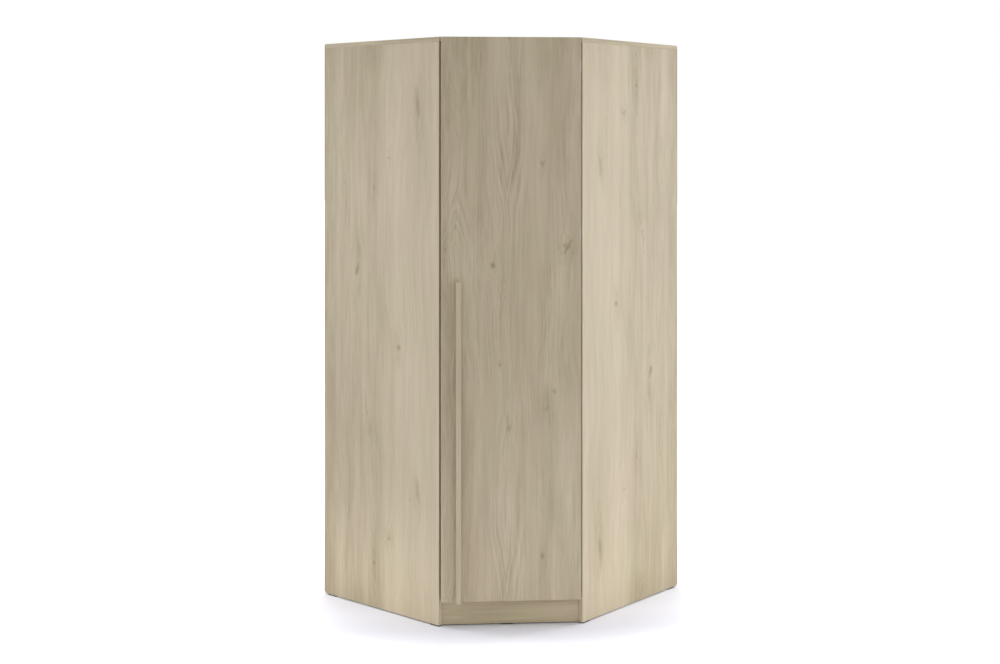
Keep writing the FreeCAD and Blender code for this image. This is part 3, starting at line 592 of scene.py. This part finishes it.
# Softly rounded edges of the faced boards. An edge is rounded where its faces turn by more than a limit in
# degrees: it takes in the slanted corners of the carcass, but not the facets of the roundings that the door
# and the handle already have
EDGE_ROUND = 0.8 * MM
ROUND_SEGMENTS = 2
ROUNDED_TURN = {"door_panel": 60, "handle_bar": 60}
USUAL_ROUNDED_TURN = 40
FLAT_TURN = 1
WELD_REACH = 0.01 * MM
FULL_WEIGHT = 100
for name in ("left_side_panel", "right_side_panel", "top_panel", "bottom_panel", "top_shelf",
             "plinth_board", "door_panel", "handle_bar"):
    modifiers = NODES[name].modifiers
    modifiers.new("weld", "WELD").merge_threshold = WELD_REACH
    flat = modifiers.new("flat_faces", "DECIMATE")
    flat.decimate_type = "DISSOLVE"
    flat.angle_limit = math.radians(FLAT_TURN)
    rounding = modifiers.new("rounding", "BEVEL")
    rounding.width = EDGE_ROUND
    rounding.segments = ROUND_SEGMENTS
    rounding.limit_method = "ANGLE"
    rounding.angle_limit = math.radians(ROUNDED_TURN.get(name, USUAL_ROUNDED_TURN))
    rounding.use_clamp_overlap = False
    modifiers.new("even_faces", "WEIGHTED_NORMAL").weight = FULL_WEIGHT

# Floor. White light is added to it where it is seen, by the way ahead of the middle on the door's side or by
# the
# way from the middle: start and end of a step in metres, then the level before and after it. This glow is
# painted light: far out it makes the floor evenly white, and near the object it lightens the object's shadow
# beside and behind the sides and sets how the shadow before the door fades out
FLOOR_SIDE = 60.0
FLOOR_WHITE = (0.845, 0.853, 0.93, 1)
FLOOR_GLOW = (
    ("DOT_PRODUCT", 0.22, 0.42, 0.07, 0.0),
    ("DOT_PRODUCT", 0.42, 0.68, 0.0, 0.20),
    ("LENGTH", 0.50, 1.6, 0.0, 0.9))


def floor_white(name):
    material = empty_material(name)
    g = Graph(material.node_tree)
    place = g.place()
    glow = 0.0
    for measure, start, end, before, after in FLOOR_GLOW:
        away = g.vector(measure, place, tuple(OUT_OF_FRONT))
        glow = g.math("ADD", g.ease(away, start, end, before, after), glow)
    matt = g.add("ShaderNodeBsdfDiffuse")
    g.feed(matt.inputs["Color"], FLOOR_WHITE)
    light = g.add("ShaderNodeEmission")
    g.feed(light.inputs["Strength"], g.math("MULTIPLY", g.seen_ray(), glow))
    both = g.add("ShaderNodeAddShader")
    for socket, shader in zip(both.inputs, (matt, light)):
        g.feed(socket, shader.outputs[0])
    g.show(both)
    return material


floor_mesh = bpy.data.meshes.new("floor")
floor_mesh.from_pydata(
    [(x * FLOOR_SIDE / 2, y * FLOOR_SIDE / 2, 0) for x, y in ((-1, -1), (1, -1), (1, 1), (-1, 1))],
    [], [(0, 1, 2, 3)])
floor = bpy.data.objects.new("floor", floor_mesh)
bpy.context.scene.collection.objects.link(floor)
floor_mesh.materials.append(floor_white("floor_white"))

# Background: white where it is seen, and a dimmer light all round
AMBIENT = 0.60
world = bpy.data.worlds.new("studio")
bpy.context.scene.world = world
world.use_nodes = True
sky = Graph(world.node_tree)
background = sky.tree.nodes["Background"]
sky.feed(background.inputs["Color"], (1, 1, 1, 1))
sky.feed(background.inputs["Strength"], sky.ease(sky.seen_ray(), 0.0, 1.0, AMBIENT, 1.0))


# Lamps: two keys behind the plane of the door, soft fill before and above it, and white cards on the floor
def softbox(name, place, aim, wide, tall, power, spread=180.0):
    data = bpy.data.lights.new(name, "AREA")
    data.spread = math.radians(spread)
    data.shape = "RECTANGLE"
    data.size = wide
    data.size_y = tall
    data.energy = power
    lamp = bpy.data.objects.new(name, data)
    lamp.location = place
    lamp.rotation_euler = (Vector(aim) - Vector(place)).to_track_quat("-Z", "Y").to_euler()
    lamp.visible_camera = False
    bpy.context.scene.collection.objects.link(lamp)


softbox("right_softbox", place=(1.8, 3.9, 1.5), aim=(0.46, 0.2, 1.0), wide=1.2, tall=2.4, power=83.0)
softbox("right_front_softbox", place=(4.2, 0.5, 1.2), aim=(0.45, 0.0, 0.9), wide=2.0, tall=2.2, power=19.0)
softbox("left_softbox", place=(-3.9, -1.8, 1.5), aim=(-0.2, -0.46, 1.0), wide=1.2, tall=2.4, power=83.0)
softbox("top_front_softbox", place=(0.9, -0.9, 5.0), aim=(0.9, -0.9, 0.0), wide=4.5, tall=4.5,
        power=16.5, spread=40.0)
softbox("top_rear_softbox", place=(-1.3, 1.3, 5.0), aim=(0.3, -0.3, 0.0), wide=3.0, tall=3.0,
        power=30.0, spread=90.0)
softbox("left_floor_card", place=(-0.17, -0.90, 0.03), aim=(-0.17, -0.46, 0.08), wide=0.7, tall=0.1,
        power=0.22, spread=90.0)
softbox("right_floor_card", place=(0.90, 0.17, 0.03), aim=(0.46, 0.17, 0.08), wide=0.7, tall=0.1,
        power=0.17, spread=90.0)
softbox("front_floor_card", place=(0.72, -0.72, 0.03), aim=(0.29, -0.29, 0.14), wide=0.45, tall=0.1,
        power=0.065, spread=90.0)

# Camera at the photograph's place. It looks down at the object while its picture plane stays upright,
# so that upright edges stay parallel: the stretched rig it hangs on slants the line of sight
IMAGE_WIDTH = 1000.0
FOCAL_PIXELS = 1488.08
SENSOR_WIDTH = 36.0
HORIZON_RISE = 186.47
CAMERA_PLACE = (3.6314, -4.1929, 1.6587)
CAMERA_HEADING = math.radians(130.994)
DIP = math.atan(HORIZON_RISE / FOCAL_PIXELS)
EIGHTH_TURN = math.pi / 4
rig = bpy.data.objects.new("camera_rig", None)
rig.location = CAMERA_PLACE
rig.rotation_euler = (3 * EIGHTH_TURN - DIP / 2, 0, CAMERA_HEADING - 2 * EIGHTH_TURN)
rig.scale = (1, math.sqrt(1 + math.sin(DIP)), math.sqrt(1 - math.sin(DIP)))
bpy.context.scene.collection.objects.link(rig)
camera_data = bpy.data.cameras.new("camera")
camera_data.sensor_width = SENSOR_WIDTH
camera_data.lens = FOCAL_PIXELS / math.cos(DIP) * SENSOR_WIDTH / IMAGE_WIDTH
camera = bpy.data.objects.new("camera", camera_data)
camera.parent = rig
camera.rotation_euler = (-EIGHTH_TURN, 0, 0)
bpy.context.scene.collection.objects.link(camera)
bpy.context.scene.camera = camera
bpy.context.scene.view_settings.view_transform = "Standard"
